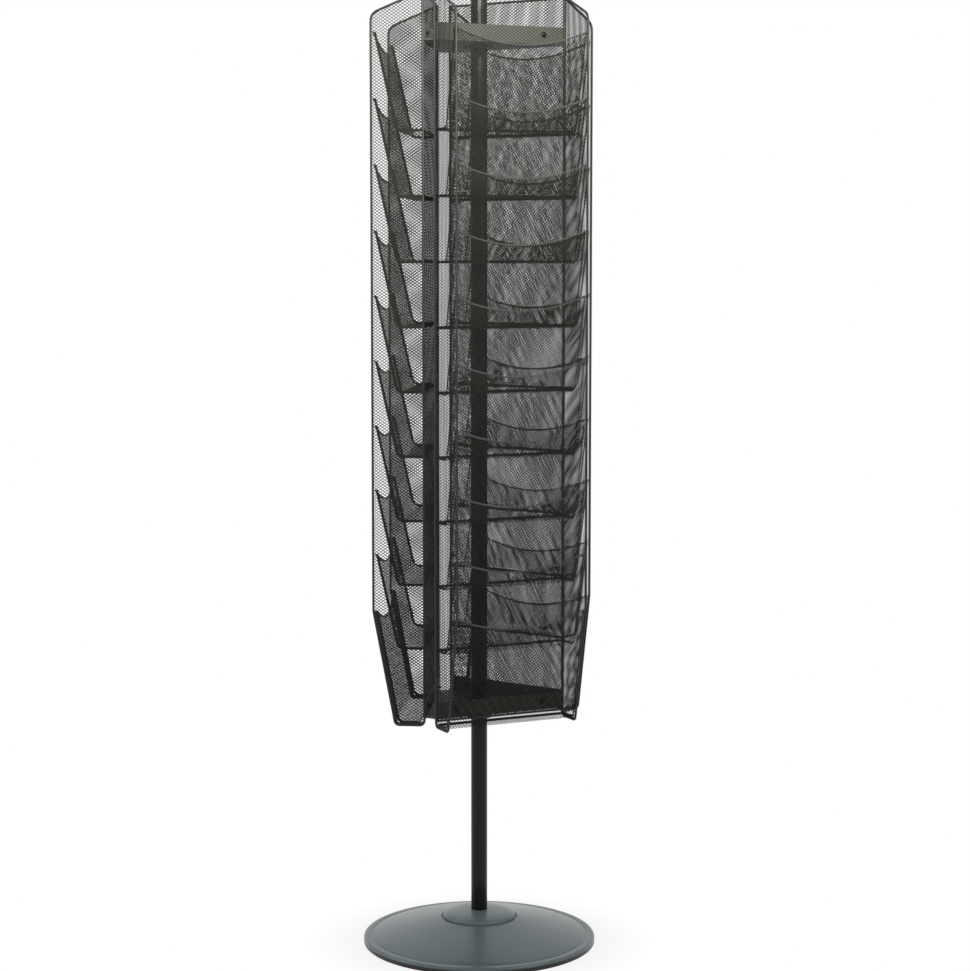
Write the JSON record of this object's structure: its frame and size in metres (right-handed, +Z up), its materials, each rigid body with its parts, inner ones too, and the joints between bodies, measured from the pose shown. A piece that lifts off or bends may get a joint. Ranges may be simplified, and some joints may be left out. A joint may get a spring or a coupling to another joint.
{
  "type": "rotating literature display rack",
  "caption": "Floor-standing rotating literature rack: wire-rimmed black mesh panels of stepped pockets face outwards round a pole on a weighted round base.",
  "frame": {"origin": "on the floor under the pole's axis", "axes": "+Z up along the pole; one panel of pockets faces -Y, the others are turned 120 degrees either way"},
  "size_m": [0.4112, 0.4, 1.649],
  "materials": {
    "mesh_black": "satin black powder coat on expanded steel mesh",
    "bracket_black": "matt black powder coat",
    "pole_black": "satin black powder coat",
    "slate_paint": "satin slate grey paint",
    "cast_iron": "raw casting",
    "zinc_steel": "zinc-plated",
    "black_nylon": "moulded black nylon",
    "rubber": "matt black rubber"
  },
  "bodies": {
    "stand": {"base_cover": "slate_paint", "base_weight": "cast_iron", "foot_ring": "rubber", "pole": "pole_black", "pole_cap": "black_nylon", "pole_plug": "zinc_steel", "base_bolt": "zinc_steel", "bolt_washer": "zinc_steel", "thrust_washer": "black_nylon", "stop_collar": "pole_black", "collar_screw": "zinc_steel"},
    "rack": {"lower_bracket": "bracket_black", "lower_bush": "black_nylon", "upper_bracket": "bracket_black", "upper_bush": "black_nylon", "panel_a": "mesh_black", "panel_b": "mesh_black", "panel_c": "mesh_black", "pocket_a01": "mesh_black", "pocket_a02": "mesh_black", "pocket_a03": "mesh_black", "pocket_a04": "mesh_black", "pocket_a05": "mesh_black", "pocket_a06": "mesh_black", "pocket_a07": "mesh_black", "pocket_a08": "mesh_black", "pocket_a09": "mesh_black", "pocket_a10": "mesh_black", "pocket_b01": "mesh_black", "pocket_b02": "mesh_black", "pocket_b03": "mesh_black", "pocket_b04": "mesh_black", "pocket_b05": "mesh_black", "pocket_b06": "mesh_black", "pocket_b07": "mesh_black", "pocket_b08": "mesh_black", "pocket_b09": "mesh_black", "pocket_b10": "mesh_black", "pocket_c01": "mesh_black", "pocket_c02": "mesh_black", "pocket_c03": "mesh_black", "pocket_c04": "mesh_black", "pocket_c05": "mesh_black", "pocket_c06": "mesh_black", "pocket_c07": "mesh_black", "pocket_c08": "mesh_black", "pocket_c09": "mesh_black", "pocket_c10": "mesh_black", "screw_lower_a1": "zinc_steel", "screw_lower_a2": "zinc_steel", "screw_lower_b1": "zinc_steel", "screw_lower_b2": "zinc_steel", "screw_lower_c1": "zinc_steel", "screw_lower_c2": "zinc_steel", "screw_upper_a1": "zinc_steel", "screw_upper_a2": "zinc_steel", "screw_upper_b1": "zinc_steel", "screw_upper_b2": "zinc_steel", "screw_upper_c1": "zinc_steel", "screw_upper_c2": "zinc_steel"}
  },
  "joints": [
    {"name": "rack_spin", "type": "hinge", "parent": "stand", "child": "rack", "pos_m": [0, 0, 0.4153], "axis": [0, 0, 1], "continuous": true}
  ]
}
